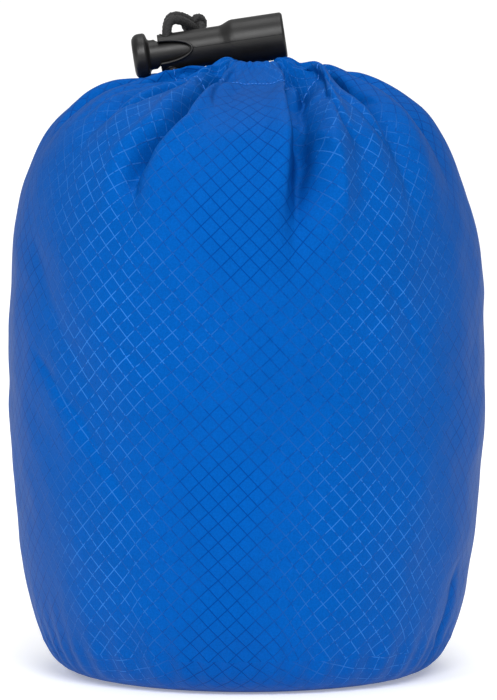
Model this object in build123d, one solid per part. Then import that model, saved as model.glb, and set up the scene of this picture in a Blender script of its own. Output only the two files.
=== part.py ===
from build123d import *
import os
from math import cos, hypot, pi, radians, sin, sqrt, tan

os.makedirs("parts", exist_ok=True)

# The sack stands full and closed on its round base: +Z up, front towards -Y, origin at the middle of the base.

# Fabric sack
CLOTH = 0.8  # thickness of the coated cloth, coating and air between its layers included
SEAM_Z = 9.0  # height of the seam between the base disc and the wall
BASE_FLAT_R = 38.5
BASE_CORNER = [(BASE_FLAT_R, 0.0), (44.6, 1.5), (48.2, 4.4), (50.9, SEAM_Z)]
WALL = [(50.9, SEAM_Z), (54.1, 17.9), (55.9, 28.0), (57.5, 38.0), (59.0, 58.0), (59.4, 78.0)]
WALL += [(58.9, 98.0), (56.1, 118.0), (50.25, 132.0), (42.4, 141.0), (33.6, 145.2)]
WALL += [(25.5, 146.5), (18.0, 146.9), (10.2, 147.1)]  # shoulder, drawn in to the mouth

# Seams, on the inside of the cloth
SEAM_ALLOWANCE = 8.0
SEAM_THICK = 0.6
SIDE_SEAM_AZ = -34.0  # degrees from +X: right of the front
SIDE_SEAM_TOP_Z = 138.0
THREAD = 0.35

# Drawcord channel: the hem folded round the cord, gathered shut
CHANNEL_R = 10.0
CHANNEL_HOLE_R = 4.4
CHANNEL_Z = (142.6, 151.2)
CHANNEL_WALL = 0.7
CHANNEL_EDGE_R = 1.8
HEM_THREAD_Z = 145.0

# Drawcord: one cord, both ends through the channel's exit, the lock and the knot
CORD_D = 2.4
STRAND_GAP = 0.2
TAIL_GAP = 0.4  # between the loop's ends and the tails, which move with the lock
LOOP_R = 7.0
LOOP_EXIT_BEND = 2.4
EXIT_AZ = 150.0
EXIT_Z = 149.0
EXIT_SLOT = (6.4, 2.8)
EXIT_EDGE = 0.4
SHOULDER_SAG = 0.12
UNDER_LOCK = 6.55  # where the strands turn up, below the middle of the lock's hole
FRONT_RISE, BACK_RISE = 7.9, 8.6  # where they turn over, above it
FRONT_OVER = [(-15.9, 12.3, 163.0), (-13.2, 16.3, 160.2)]
BACK_OVER = [(-16.1, 14.9, 164.0), (-12.6, 18.7, 160.7)]
KNOT_CENTRE = Vector(-12.9, 17.6, 160.7)
KNOT_SIZE = (3.5, 3.3, 3.7)
TIP_OFFSETS = [(0.9, 1.9), (-1.9, 2.3)]

# Cord lock: barrel, plunger and spring on one axis, tilted up to the right and leaning back
LOCK_HOLE = (-19.6, 10.5, 154.7)
LOCK_TILT = 8.5
LOCK_LEAN = 8.0
BARREL_X = (-2.3, 13.0, 17.0, 29.4)  # mouth, start and end of the flare, closed end
BARREL_R = (4.75, 5.85)  # before and after the flare
BARREL_END_R = 0.8
BORE_R = 3.80
BORE_DEPTH = 21.0
SCOOP = (8.4, 2.9)  # half length and half height of the cutaway in the barrel's two flanks
HOLE_LENGTH = 3.0  # of the barrel's cord hole along the axis
HOLE_WIDTH = 5.5
STEM_R = 3.73
STEM_END = 9.5
PLUNGER_TRAVEL = 2.0
NECK_START = -4.3
KNOB = (-8.9, -5.2)
KNOB_R = 5.7
KNOB_EDGE_R = 1.9
SPRING_WIRE = 0.5
SPRING_R = 2.7
SPRING_TURNS = 7

CONTENTS_INSET = 2.5  # clear of the seams and their thread


def up_axis():
    """Direction of the lock's cord hole: up, tilted with the lock and leaning back."""
    tilt, lean = radians(LOCK_TILT), radians(LOCK_LEAN)
    return Vector(-sin(tilt) * cos(lean), sin(lean), cos(tilt) * cos(lean))


LOCK_X = Vector(cos(radians(LOCK_TILT)), 0, sin(radians(LOCK_TILT)))
LOCK_PLANE = Plane(origin=LOCK_HOLE, x_dir=LOCK_X, z_dir=up_axis())


def save(name, shape):
    """One node, one file."""
    shape.label = name
    export_step(shape, f"parts/{name}.step")


def inset(points, depth):
    """The profile moved inwards, square to itself, by depth."""
    moved = []
    for i, (r, z) in enumerate(points):
        before, after = points[max(i - 1, 0)], points[min(i + 1, len(points) - 1)]
        dr, dz = after[0] - before[0], after[1] - before[1]
        length = hypot(dr, dz)
        moved.append((r - depth * dz / length, z + depth * dr / length))
    return moved


def profile_band(points, outer, inner):
    """Face between two insets of a profile, in the XZ plane."""
    with BuildSketch(Plane.XZ) as band:
        with BuildLine():
            out = Spline(*inset(points, outer))
            inn = Spline(*inset(points, inner))
            Line(out @ 0, inn @ 0)
            Line(out @ 1, inn @ 1)
        make_face()
    return band.sketch


def turned(face, angle=360.0, start=0.0):
    """The face turned about the sack's own axis."""
    return Rot(0, 0, start) * revolve(face, Axis.Z, angle)


def body_panel():
    return turned(profile_band(WALL, 0, CLOTH))


def base_panel():
    """Round disc whose edge turns up to the seam."""
    lower = BASE_CORNER
    upper = inset(BASE_CORNER, CLOTH)
    upper[0] = (BASE_FLAT_R - 0.4, CLOTH)
    with BuildSketch(Plane.XZ) as section:
        with BuildLine():
            Line((0, 0), lower[0])
            out = Spline(*lower, tangents=[(1, 0), (0.5, 0.86)])
            Line(out @ 1, upper[-1])
            inn = Spline(*upper, tangents=[(1, 0), (0.5, 0.86)])
            Line(inn @ 0, (0, CLOTH))
            Line((0, CLOTH), (0, 0))
        make_face()
    disc = turned(section.sketch)
    return disc - Pos(0, 0, SEAM_Z + 5 - 0.02) * Box(200, 200, 10)


def base_seam():
    """The two cut edges of the base seam, turned down inside the wall."""
    points = [p for p in WALL if p[1] < SEAM_Z + 2 * SEAM_ALLOWANCE]
    top = SEAM_Z + SEAM_ALLOWANCE
    ring = turned(profile_band(points, CLOTH + 0.05, CLOTH + 0.05 + SEAM_THICK))
    slab = Pos(0, 0, (SEAM_Z + 0.3 + top) / 2) * Box(200, 200, top - SEAM_Z - 0.3)
    return ring & slab


def side_seam():
    """Felled strip that joins the wall's two upright edges, inside the cloth."""
    width = SEAM_ALLOWANCE / WALL[5][0] * 180 / pi
    low = SEAM_Z + SEAM_ALLOWANCE + 0.3
    strip = turned(
        profile_band(WALL, CLOTH + 0.05, CLOTH + 0.05 + SEAM_THICK), width, SIDE_SEAM_AZ - width / 2
    )
    slab = Pos(0, 0, (low + SIDE_SEAM_TOP_Z) / 2) * Box(200, 200, SIDE_SEAM_TOP_Z - low)
    return strip & slab


def side_stitching():
    """Two rows of thread down the felled seam, on its inner face."""
    depth = CLOTH + 0.05 + SEAM_THICK + 0.02
    low = SEAM_Z + SEAM_ALLOWANCE + 1.0
    high = SIDE_SEAM_TOP_Z - 1.0
    slab = Pos(0, 0, (low + high) / 2) * Box(200, 200, high - low)
    width = THREAD / WALL[5][0] * 180 / pi
    rows = []
    for side in (-1, 1):
        start = SIDE_SEAM_AZ + side * 2.6 - width / 2
        rows.append(turned(profile_band(WALL, depth, depth + THREAD), width, start) & slab)
    return Compound(children=rows)


def base_stitching():
    """Thread of the base seam, on the inner face of its allowance."""
    row_z = SEAM_Z + 2.5
    points = [p for p in WALL if p[1] < SEAM_Z + 2 * SEAM_ALLOWANCE]
    depth = CLOTH + 0.05 + SEAM_THICK + 0.02
    ring = turned(profile_band(points, depth, depth + THREAD))
    return ring & (Pos(0, 0, row_z) * Box(200, 200, THREAD))


def drawcord_channel():
    """Hollow hem ring, with the slot that the cord leaves by."""
    low, high = CHANNEL_Z
    width = CHANNEL_R - CHANNEL_HOLE_R
    middle = (CHANNEL_R + CHANNEL_HOLE_R) / 2
    with BuildSketch(Plane.XZ) as section:
        with Locations((middle, (low + high) / 2)):
            RectangleRounded(width, high - low, CHANNEL_EDGE_R)
            RectangleRounded(
                width - 2 * CHANNEL_WALL,
                high - low - 2 * CHANNEL_WALL,
                CHANNEL_EDGE_R - CHANNEL_WALL,
                mode=Mode.SUBTRACT,
            )
    return turned(section.sketch) - exit_prism(*EXIT_SLOT)


def exit_prism(width, height):
    """Slot-shaped prism that points out of the channel at its exit."""
    plane = Plane(
        origin=(0, 0, EXIT_Z),
        x_dir=(-sin(radians(EXIT_AZ)), cos(radians(EXIT_AZ)), 0),
        z_dir=(cos(radians(EXIT_AZ)), sin(radians(EXIT_AZ)), 0),
    )
    with BuildSketch(plane.offset(LOOP_R)) as slot:
        SlotOverall(width, height)
    return extrude(slot.sketch, 8.0)


def exit_buttonhole():
    """Whipped thread edge round the exit slot, on the channel's outer face."""
    ring = Cylinder(CHANNEL_R + 0.5, 6) - Cylinder(CHANNEL_R + 0.05, 6)
    frame = exit_prism(EXIT_SLOT[0] + 2 * EXIT_EDGE, EXIT_SLOT[1] + 2 * EXIT_EDGE)
    return (Pos(0, 0, EXIT_Z) * ring) & (frame - exit_prism(*EXIT_SLOT))


def channel_stitching():
    """Row of thread that closes the hem, round its outside and under the wall's drawn-in edge."""
    return Pos(0, 0, HEM_THREAD_Z) * Torus(CHANNEL_R + 0.05 + THREAD / 2, THREAD / 2)


def strand_side(side):
    """Sideways distance of a strand from the middle line of the pair."""
    return side * (CORD_D + STRAND_GAP) / 2


def drawcord_loop():
    """The cord's stretch inside the channel, with both ends turned out to the exit."""
    half = strand_side(1)
    end_x = CHANNEL_R - TAIL_GAP
    bend_x = sqrt((LOOP_R + LOOP_EXIT_BEND) ** 2 - (half + LOOP_EXIT_BEND) ** 2)
    scale = LOOP_R / (LOOP_R + LOOP_EXIT_BEND)
    joint = (bend_x * scale, (half + LOOP_EXIT_BEND) * scale)
    with BuildLine() as route:
        first = Line((end_x, half), (bend_x, half))
        bend = TangentArc(first @ 1, joint, tangent=first % 1)
        ring = ThreePointArc(bend @ 1, (-LOOP_R, 0), (joint[0], -joint[1]))
        TangentArc(ring @ 1, (bend_x, -half), tangent=ring % 1)
        Line((bend_x, -half), (end_x, -half))
    start = Plane(origin=(end_x, half, 0), z_dir=(-1, 0, 0))
    tube = sweep(start * Circle(CORD_D / 2), path=route.line)
    return Pos(0, 0, EXIT_Z) * Rot(0, 0, EXIT_AZ) * tube


def tail_route(side):
    """Corners of one strand: exit, along the shoulder, up through the lock, over and into the knot."""
    across = Vector(-sin(radians(EXIT_AZ)), cos(radians(EXIT_AZ)), 0) * strand_side(side)
    out = Vector(cos(radians(EXIT_AZ)), sin(radians(EXIT_AZ)), 0)
    hole = Vector(*LOCK_HOLE)
    back = LOCK_PLANE.y_dir * -strand_side(side)
    up = up_axis()
    start = out * CHANNEL_R + across + Vector(0, 0, EXIT_Z)
    under = hole - up * UNDER_LOCK + back
    middle = (start + under) * 0.5 - Vector(0, 0, SHOULDER_SAG) + across * 0.5
    if side > 0:
        above = hole + up * FRONT_RISE + back
        return [start, middle, under, above] + [Vector(*p) for p in FRONT_OVER]
    above = hole + up * BACK_RISE + back
    return [start, middle, under, above] + [Vector(*p) for p in BACK_OVER]


def corner_radii(points):
    """Largest tangent arcs that the runs leave room for."""
    radii = []
    for a, b, c in zip(points, points[1:], points[2:]):
        turn = radians((b - a).get_angle(c - b))
        radii.append(0.45 * min((b - a).length, (c - b).length) / tan(turn / 2))
    return radii


def tail(side):
    points = tail_route(side)
    radii = corner_radii(points)
    limit = 12 * CORD_D
    radii = [min(r, limit) for r in radii]
    with BuildLine() as route:
        line = FilletPolyline(*points, radius=radii)
    tube = sweep(Plane(origin=line @ 0, z_dir=line % 0) * Circle(CORD_D / 2), path=route.line)
    return tube - knot_body()


def knot_body():
    """Outer shape of the overhand knot that both strands are tied in."""
    ball = scale(Sphere(1.0), by=KNOT_SIZE)
    return Pos(*KNOT_CENTRE) * Rot(0, 20, 0) * ball


def knot_tips():
    """The cord's two sealed ends, hanging from the knot."""
    ends = []
    for dx, dy in TIP_OFFSETS:
        foot = KNOT_CENTRE + Vector(dx * 1.15, dy * 1.25, -6.6)
        top = KNOT_CENTRE + Vector(dx * 0.6, dy * 0.8, -1.0)
        plane = Plane(origin=foot, z_dir=top - foot)
        stub = extrude(plane * Circle(CORD_D / 2), (top - foot).length)
        ends.append(stub - knot_body())
    return Compound(children=ends)


def along_axis(radius, start, end):
    """Round bar along the lock's axis."""
    plane = Plane(origin=(start, 0, 0), z_dir=(1, 0, 0))
    return extrude(plane * Circle(radius), end - start)


def cord_hole(length, width, centre=0.0):
    """Slot across the lock, for the pair of strands."""
    with BuildSketch(Plane.XY) as slot:
        with Locations((centre, 0)):
            RectangleRounded(length, width, min(length, width) / 2 - 0.01)
    return extrude(slot.sketch, 10, both=True)


def lock_barrel():
    """Moulded barrel: flared to its closed end, scooped in both flanks at its mouth."""
    mouth, flare_start, flare_end, end = BARREL_X
    narrow, wide = BARREL_R
    with BuildSketch(Plane.XY) as section:
        with BuildLine():
            front = Line((mouth, BORE_R), (mouth, narrow))
            neck = Line(front @ 1, (flare_start, narrow))
            flare = Spline(neck @ 1, (flare_end, wide), tangents=[(1, 0), (1, 0)])
            body = Line(flare @ 1, (end - BARREL_END_R, wide))
            corner = RadiusArc(body @ 1, (end, wide - BARREL_END_R), BARREL_END_R)
            Polyline(corner @ 1, (end, 0), (BORE_DEPTH, 0), (BORE_DEPTH, BORE_R), (mouth, BORE_R))
        make_face()
    shell = revolve(section.sketch, Axis.X)
    with BuildSketch(Plane.XZ) as scoop:
        with Locations((mouth, 0)):
            Ellipse(*SCOOP)
    shell -= extrude(scoop.sketch, 10, both=True)
    shell -= cord_hole(HOLE_LENGTH, HOLE_WIDTH)
    return LOCK_PLANE * shell


def lock_plunger():
    """Moulded plunger: round knob, waisted neck and a stem with the cord slot."""
    left, right = KNOB
    with BuildSketch(Plane.XY) as section:
        with BuildLine():
            face = Line((left, 0), (left, KNOB_R - KNOB_EDGE_R))
            edge = TangentArc(face @ 1, (left + KNOB_EDGE_R, KNOB_R), tangent=face % 1)
            rim = Line(edge @ 1, (right - 0.9, KNOB_R))
            fall = Spline(rim @ 1, (right, KNOB_R - 0.7), (NECK_START, STEM_R),
                          tangents=[(1, 0), (1, 0)])
            side = Line(fall @ 1, (STEM_END, STEM_R))
            Line(side @ 1, (STEM_END, 0))
            Line((STEM_END, 0), (left, 0))
        make_face()
    turned_part = revolve(section.sketch, Axis.X)
    slack = 0.08
    right_end = CORD_D / 2 + slack
    left_end = -CORD_D / 2 - slack - PLUNGER_TRAVEL
    slot = cord_hole(right_end - left_end, HOLE_WIDTH, (right_end + left_end) / 2)
    return LOCK_PLANE * (turned_part - slot)


def lock_spring():
    """Compression spring between the stem's end and the bottom of the bore."""
    length = BORE_DEPTH - STEM_END - SPRING_WIRE - 0.2
    path = Helix(pitch=length / SPRING_TURNS, height=length, radius=SPRING_R)
    wire = sweep(Plane(origin=path @ 0, z_dir=path % 0) * Circle(SPRING_WIRE / 2), path=path)
    seat = Plane(origin=(STEM_END + 0.1 + SPRING_WIRE / 2, 0, 0), z_dir=(1, 0, 0))
    return LOCK_PLANE * (seat * wire)


def packed_contents():
    """The soft goods packed in the sack, which hold it out."""
    wall = inset(WALL, CONTENTS_INSET)
    corner = inset(BASE_CORNER, CONTENTS_INSET)
    corner[0] = (BASE_FLAT_R - 2.0, CONTENTS_INSET - 0.8)
    points = corner[:-1] + wall[:-1]
    with BuildSketch(Plane.XZ) as section:
        with BuildLine():
            out = Spline(*points)
            Line(out @ 1, (0, points[-1][1]))
            Line((0, points[-1][1]), (0, points[0][1]))
            Line((0, points[0][1]), out @ 0)
        make_face()
    room = Pos(0, 0, CHANNEL_Z[0] - 0.5 + 10) * Cylinder(CHANNEL_R + 1.2, 20)
    return turned(section.sketch) - room


save("body_panel", body_panel())
save("base_panel", base_panel())
save("base_seam", base_seam())
save("base_stitching", base_stitching())
save("side_seam", side_seam())
save("side_stitching", side_stitching())
save("drawcord_channel", drawcord_channel())
save("channel_stitching", channel_stitching())
save("exit_buttonhole", exit_buttonhole())
save("packed_contents", packed_contents())
save("drawcord_loop", drawcord_loop())
save("drawcord_tail_front", tail(1))
save("drawcord_tail_back", tail(-1))
save("drawcord_knot", knot_body())
save("drawcord_tips", knot_tips())
save("lock_barrel", lock_barrel())
save("lock_plunger", lock_plunger())
save("lock_spring", lock_spring())
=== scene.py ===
import math

import bpy
import numpy as np
from mathutils import Matrix, Vector, noise


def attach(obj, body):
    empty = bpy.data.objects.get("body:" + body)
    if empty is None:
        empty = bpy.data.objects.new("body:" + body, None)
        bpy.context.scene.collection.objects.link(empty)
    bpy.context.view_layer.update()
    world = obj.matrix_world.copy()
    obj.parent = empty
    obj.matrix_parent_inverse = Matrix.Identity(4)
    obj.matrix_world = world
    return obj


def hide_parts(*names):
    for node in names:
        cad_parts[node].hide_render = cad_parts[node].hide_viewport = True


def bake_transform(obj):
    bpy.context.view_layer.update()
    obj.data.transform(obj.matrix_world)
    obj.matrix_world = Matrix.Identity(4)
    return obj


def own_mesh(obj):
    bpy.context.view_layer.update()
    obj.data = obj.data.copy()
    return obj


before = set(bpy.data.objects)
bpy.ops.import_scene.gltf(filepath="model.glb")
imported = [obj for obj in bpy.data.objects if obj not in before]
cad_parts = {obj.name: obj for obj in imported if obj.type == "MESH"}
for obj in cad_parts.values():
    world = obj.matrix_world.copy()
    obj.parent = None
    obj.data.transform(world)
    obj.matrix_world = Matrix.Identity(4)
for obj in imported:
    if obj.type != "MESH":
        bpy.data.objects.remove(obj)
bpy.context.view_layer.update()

MM = 0.001


def mm(*values):
    """A point given in millimetres, in metres."""
    return Vector([value * MM for value in values])


def new_object(name, data):
    item = bpy.data.objects.new(name, data)
    bpy.context.collection.objects.link(item)
    return item


# ---------------------- camera
ELEVATION = math.radians(6.0)
CAMERA_DISTANCE = 2.4
FRAME_WIDTH = 0.12425  # what the picture's width takes in, at the sack's middle
SENSOR = 36.0
AIM = mm(0.4, 0, 80.9)


def make_camera():
    data = bpy.data.cameras.new("camera")
    data.sensor_fit = "HORIZONTAL"
    data.sensor_width = SENSOR
    data.lens = SENSOR * CAMERA_DISTANCE / FRAME_WIDTH
    data.clip_end = 20
    camera = new_object("camera", data)
    back = Vector((0, -math.cos(ELEVATION), math.sin(ELEVATION)))
    camera.location = AIM + back * CAMERA_DISTANCE
    camera.rotation_euler = (math.pi / 2 - ELEVATION, 0, 0)
    bpy.context.scene.camera = camera


make_camera()
bpy.context.scene.view_settings.view_transform = "Standard"


def mesh_piece(name, points, faces, body, material):
    """A new smooth-shaded piece from points in mm, riding on a body if one is given."""
    mesh = bpy.data.meshes.new(name)
    mesh.from_pydata([tuple(p) for p in np.array(points) * MM], [], faces)
    mesh.validate()
    mesh.polygons.foreach_set("use_smooth", [True] * len(mesh.polygons))
    mesh.materials.append(material)
    mesh.update()
    piece = new_object(name, mesh)
    if body:
        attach(piece, body)
    return piece


# ---------------------- materials
class Nodes:
    """Short way to write a node material."""

    def __init__(self, name):
        self.material = bpy.data.materials.new(name)
        self.material.use_nodes = True
        self.tree = self.material.node_tree
        self.shader = self.tree.nodes["Principled BSDF"]

    def add(self, kind, **values):
        node = self.tree.nodes.new(kind)
        for key, value in values.items():
            setattr(node, key, value)
        return node

    def join(self, source, target):
        self.tree.links.new(source, target)

    def math(self, operation, a, b=None, c=None, clamp=False):
        node = self.add("ShaderNodeMath", operation=operation, use_clamp=clamp)
        for socket, value in zip(node.inputs, (a, b, c)):
            if value is None:
                continue
            if isinstance(value, (int, float)):
                socket.default_value = value
            else:
                self.join(value, socket)
        return node.outputs[0]

    def mix(self, factor, a, b):
        node = self.add("ShaderNodeMix", data_type="RGBA")
        for socket, value in ((node.inputs[0], factor), (node.inputs[6], a), (node.inputs[7], b)):
            if isinstance(value, (int, float)):
                socket.default_value = value
            elif isinstance(value, tuple):
                socket.default_value = (*value, 1.0)
            else:
                self.join(value, socket)
        return node.outputs[2]

    def noise(self, vector, scale, detail=2.0, roughness=0.5):
        node = self.add("ShaderNodeTexNoise")
        node.inputs["Scale"].default_value = scale
        node.inputs["Detail"].default_value = detail
        node.inputs["Roughness"].default_value = roughness
        self.join(vector, node.inputs["Vector"])
        return node.outputs["Fac"]

    def bump(self, height, distance, strength, normal=None):
        node = self.add("ShaderNodeBump")
        node.inputs["Strength"].default_value = strength
        node.inputs["Distance"].default_value = distance
        self.join(height, node.inputs["Height"])
        if normal is not None:
            self.join(normal, node.inputs["Normal"])
        return node.outputs["Normal"]

    def object_point(self):
        return self.add("ShaderNodeTexCoord").outputs["Object"]


# Ripstop, in mm of flat cloth
GRID_CELL = 3.5
WEFT_CELL_SHARE = 0.96  # the squares are a little shorter along the weft
GRID_LINE = 0.19
GRID_TURN = math.radians(47)
THREAD_PITCH = 0.28


def ripstop(name, base):
    """Plain-woven nylon with a raised grid of doubled threads, cut on the bias. UVs hold flat cloth in mm. The
    grid lines carry painted sheen and painted shade: lighter in bands by azimuth and in noise patches, darker
    elsewhere.
    """
    n = Nodes(name)
    uv = n.add("ShaderNodeUVMap", uv_map="flat").outputs["UV"]
    split = n.add("ShaderNodeSeparateXYZ")
    n.join(uv, split.inputs[0])
    across, along = split.outputs[0], split.outputs[1]
    point = n.object_point()
    sway = n.math("MULTIPLY", n.math("SUBTRACT", n.noise(point, 90.0), 0.5), 0.5)
    c, s = math.cos(GRID_TURN), math.sin(GRID_TURN)
    warp = n.math("ADD", n.math("MULTIPLY", across, c), n.math("MULTIPLY", along, s))
    weft = n.math("SUBTRACT", n.math("MULTIPLY", along, c), n.math("MULTIPLY", across, s))
    warp = n.math("ADD", warp, sway)

    def grid_line(value, cell):
        place = n.math("FRACT", n.math("DIVIDE", value, cell))
        away = n.math("MULTIPLY", n.math("ABSOLUTE", n.math("SUBTRACT", place, 0.5)), cell)
        edge = n.add("ShaderNodeMapRange", interpolation_type="SMOOTHSTEP")
        n.join(away, edge.inputs[0])
        edge.inputs[1].default_value = GRID_LINE * 0.30
        edge.inputs[2].default_value = GRID_LINE
        edge.inputs[3].default_value = 1.0
        edge.inputs[4].default_value = 0.0
        return edge.outputs[0]

    first = grid_line(warp, GRID_CELL)
    second = grid_line(weft, GRID_CELL * WEFT_CELL_SHARE)
    lines = n.math("MAXIMUM", first, second)

    threads_a = n.math("SINE", n.math("MULTIPLY", warp, 2 * math.pi / THREAD_PITCH))
    threads_b = n.math("SINE", n.math("MULTIPLY", weft, 2 * math.pi / THREAD_PITCH))
    weave = n.math("MULTIPLY", threads_a, threads_b)

    place = n.add("ShaderNodeSeparateXYZ")
    n.join(point, place.inputs[0])
    # Painted sheen on the grid lines, standing in for the threads' highlight: bands by azimuth round the
    # object, plus noise, cut to 0.3 in large patches
    turn = n.math("ARCTAN2", place.outputs[0], n.math("MULTIPLY", place.outputs[1], -1.0))
    painted_sheen_bands = n.math("COSINE", n.math("MULTIPLY", n.math("ABSOLUTE", turn), 4.6))
    patchy = n.noise(point, 22.0, 3.0)
    painted_sheen = n.math("MULTIPLY_ADD", painted_sheen_bands, -0.42, n.math("MULTIPLY_ADD", patchy, 1.9, -0.62))
    painted_sheen = n.math("ADD", painted_sheen, 0.05, clamp=True)
    painted_sheen_patches = n.math("GREATER_THAN", n.noise(uv, 0.35, 3.0, 0.7), 0.47)
    painted_sheen = n.math("MULTIPLY", painted_sheen, n.math("MULTIPLY_ADD", painted_sheen_patches, 0.7, 0.3))

    mottled = n.noise(point, 55.0, 4.0, 0.6)
    ground = n.mix(mottled, tuple(v * 1.08 for v in base), tuple(v * 1.42 for v in base))
    fine = n.noise(point, 2600.0, 1.0)
    ground = n.mix(n.math("MULTIPLY", fine, 0.75), ground, tuple(v * 0.62 for v in base))
    # The grid line's colour in painted shade and in painted sheen, mixed by the painted sheen above
    line_painted_shade = (base[0] * 0.3, base[1] * 0.36, base[2] * 0.55)
    line_painted_sheen = (base[0] + 0.030, base[1] * 2.3 + 0.02, base[2] * 1.7 + 0.04)
    line_colour_painted_sheen = n.mix(painted_sheen, line_painted_shade, line_painted_sheen)
    colour = n.mix(n.math("MULTIPLY", lines, 0.72), ground, line_colour_painted_sheen)
    n.join(colour, n.shader.inputs["Base Color"])

    rough = n.math("MULTIPLY_ADD", mottled, 0.16, 0.44)
    n.join(rough, n.shader.inputs["Roughness"])
    n.shader.inputs["Specular IOR Level"].default_value = 0.10
    n.shader.inputs["Specular Tint"].default_value = (0.03, 0.30, 1.0, 1.0)
    soft = n.bump(n.noise(point, 110.0, 4.0, 0.62), 0.0007, 0.5)
    raised = n.bump(n.math("MULTIPLY_ADD", weave, 0.10, lines), 0.00010, 0.55, soft)
    n.join(raised, n.shader.inputs["Normal"])
    return n.material


def thread_material(name, base):
    n = Nodes(name)
    point = n.object_point()
    twist = n.add("ShaderNodeTexWave", bands_direction="DIAGONAL")
    twist.inputs["Scale"].default_value = 900.0
    n.join(point, twist.inputs["Vector"])
    colour = n.mix(twist.outputs["Fac"], tuple(v * 0.7 for v in base), tuple(v * 1.25 for v in base))
    n.join(colour, n.shader.inputs["Base Color"])
    n.shader.inputs["Roughness"].default_value = 0.5
    n.join(n.bump(twist.outputs["Fac"], 0.00005, 0.6), n.shader.inputs["Normal"])
    return n.material


def cord_material():
    """Black braid: fine filaments in each carrier, a little dusty on the crowns."""
    n = Nodes("cord_braid")
    point = n.object_point()
    fluff = n.noise(point, 1500.0, 3.0, 0.7)
    colour = n.mix(fluff, (0.002, 0.002, 0.0022), (0.020, 0.020, 0.021))
    n.join(colour, n.shader.inputs["Base Color"])
    n.join(n.math("MULTIPLY_ADD", fluff, 0.2, 0.55), n.shader.inputs["Roughness"])
    n.shader.inputs["Specular IOR Level"].default_value = 0.35
    n.shader.inputs["Sheen Weight"].default_value = 0.08
    n.join(n.bump(n.noise(point, 4200.0, 2.0, 0.6), 0.00012, 0.6), n.shader.inputs["Normal"])
    return n.material


def moulded_plastic():
    """Satin black acetal with a fine spark-eroded grain and rubbed patches."""
    n = Nodes("lock_plastic")
    point = n.object_point()
    rubbed = n.noise(point, 140.0, 4.0, 0.65)
    colour = n.mix(rubbed, (0.0045, 0.0045, 0.0048), (0.0100, 0.0098, 0.0095))
    n.join(colour, n.shader.inputs["Base Color"])
    n.join(n.math("MULTIPLY_ADD", rubbed, 0.22, 0.30), n.shader.inputs["Roughness"])
    n.shader.inputs["Specular IOR Level"].default_value = 0.38
    grain = n.bump(n.noise(point, 3600.0, 2.0, 0.5), 0.00004, 0.35)
    n.join(n.bump(n.noise(point, 260.0, 2.0), 0.0002, 0.12, grain), n.shader.inputs["Normal"])
    return n.material


def spring_wire():
    n = Nodes("spring_wire")
    point = n.object_point()
    drawn = n.noise(point, 900.0, 2.0)
    n.join(n.mix(drawn, (0.40, 0.41, 0.43), (0.62, 0.63, 0.65)), n.shader.inputs["Base Color"])
    n.shader.inputs["Metallic"].default_value = 1.0
    n.join(n.math("MULTIPLY_ADD", drawn, 0.2, 0.25), n.shader.inputs["Roughness"])
    return n.material


BLUE = (0.0008, 0.068, 0.307)
CLOTH = ripstop("ripstop_blue", BLUE)
THREAD = thread_material("thread_blue", (0.006, 0.130, 0.50))
BRAID = cord_material()
PLASTIC = moulded_plastic()
STEEL = spring_wire()
FILLING = ripstop("packed_goods", (0.05, 0.055, 0.06))
INSIDE = ripstop("ripstop_coated_side", (0.001, 0.060, 0.28))


# ---------------------- cords
# Lengths in mm, in the CAD model's axes
CORD_D = 2.4
EXIT_Z = 149.0
CHANNEL_R = 10.0
EXIT_AZ = math.radians(150)  # from +X
STRAND_HALF = 1.3  # half the distance between the two strands
SHOULDER_SAG = 0.12
UNDER_LOCK = 6.55  # from the middle of the lock's cord hole down to the route's corner
# From the same point up to the next corner, then the last two corners: front strand (1), back strand (-1)
OVER_LOCK = {1: 7.9, -1: 8.6}
TO_KNOT = {1: [(-15.9, 12.3, 163.0), (-13.2, 16.3, 160.2)], -1: [(-16.1, 14.9, 164.0), (-12.6, 18.7, 160.7)]}
LOCK_TILT, LOCK_LEAN = math.radians(8.5), math.radians(8.0)
LOCK_HOLE = Vector((-19.6, 10.5, 154.7))
LOCK_X = Vector((math.cos(LOCK_TILT), 0, math.sin(LOCK_TILT)))
LOCK_UP = Vector(
    (
        -math.sin(LOCK_TILT) * math.cos(LOCK_LEAN),
        math.sin(LOCK_LEAN),
        math.cos(LOCK_TILT) * math.cos(LOCK_LEAN),
    )
)
LOCK_SIDE = LOCK_UP.cross(LOCK_X)
KNOT = Vector((-12.9, 17.6, 160.7))


def tail_points(side):
    """The strand's route as in the CAD model: exit, shoulder, up through the lock, over, into the knot."""
    out = Vector((math.cos(EXIT_AZ), math.sin(EXIT_AZ), 0))
    across = Vector((-math.sin(EXIT_AZ), math.cos(EXIT_AZ), 0)) * side * STRAND_HALF
    back = LOCK_SIDE * -side * STRAND_HALF
    start = out * CHANNEL_R + across + Vector((0, 0, EXIT_Z))
    under = LOCK_HOLE - LOCK_UP * UNDER_LOCK + back
    middle = (start + under) * 0.5 + Vector((0, 0, -SHOULDER_SAG)) + across * 0.5
    above = LOCK_HOLE + LOCK_UP * OVER_LOCK[side] + back
    return [start, middle, under, above] + [Vector(p) for p in TO_KNOT[side]]


def nurbs_line(name, points):
    """Points read from the smooth NURBS line that the route's corners control, in mm."""
    curve = bpy.data.curves.new(name, "CURVE")
    curve.dimensions = "3D"
    curve.resolution_u = 24
    spline = curve.splines.new("NURBS")
    spline.points.add(len(points) - 1)
    for knot, p in zip(spline.points, points):
        knot.co = (*p, 1.0)
    spline.order_u = 3
    spline.use_endpoint_u = True
    holder = new_object(name, curve)
    mesh = bpy.data.meshes.new_from_object(holder)
    line = [v.co.copy() for v in mesh.vertices]
    bpy.data.objects.remove(holder)
    bpy.data.curves.remove(curve)
    bpy.data.meshes.remove(mesh)
    return line


def distance_along(line):
    """How far along the line each of its points is."""
    return np.concatenate([[0], np.cumsum(np.linalg.norm(np.diff(line, axis=0), axis=1))])


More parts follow.
